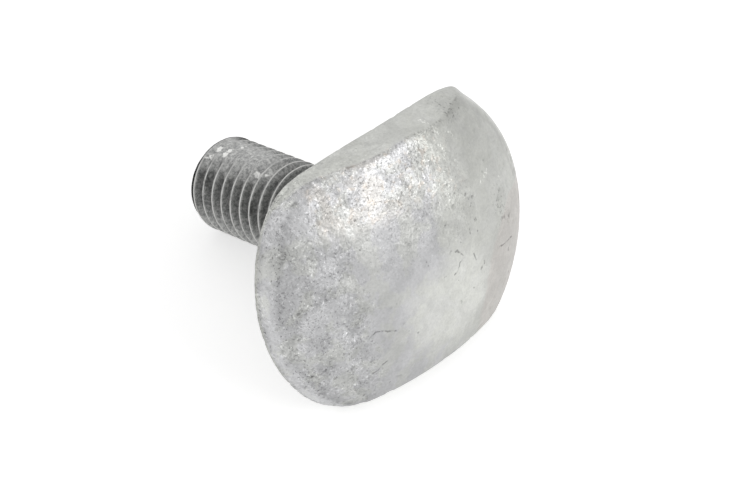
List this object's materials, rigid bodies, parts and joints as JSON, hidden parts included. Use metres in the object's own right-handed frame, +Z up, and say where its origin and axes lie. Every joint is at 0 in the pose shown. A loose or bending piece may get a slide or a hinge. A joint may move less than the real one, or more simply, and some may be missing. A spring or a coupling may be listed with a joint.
{
  "type": "fence bolt",
  "caption": "Short galvanised bolt with a wide domed head that has two opposite flat sides, lying on its side.",
  "frame": {"origin": "on the surface the bolt lies on, under the middle of its footprint", "axes": "+Z up, +X from the tip of the shank to the head, the shank in the XZ plane and sloping up to the head, +Y along the flats of the head"},
  "size_m": [0.0398, 0.0398, 0.0297],
  "materials": {
    "galvanised_steel": "hot-dip galvanised, satin, speckled"
  },
  "bodies": {
    "root": {"bolt": "galvanised_steel"}
  },
  "joints": []
}
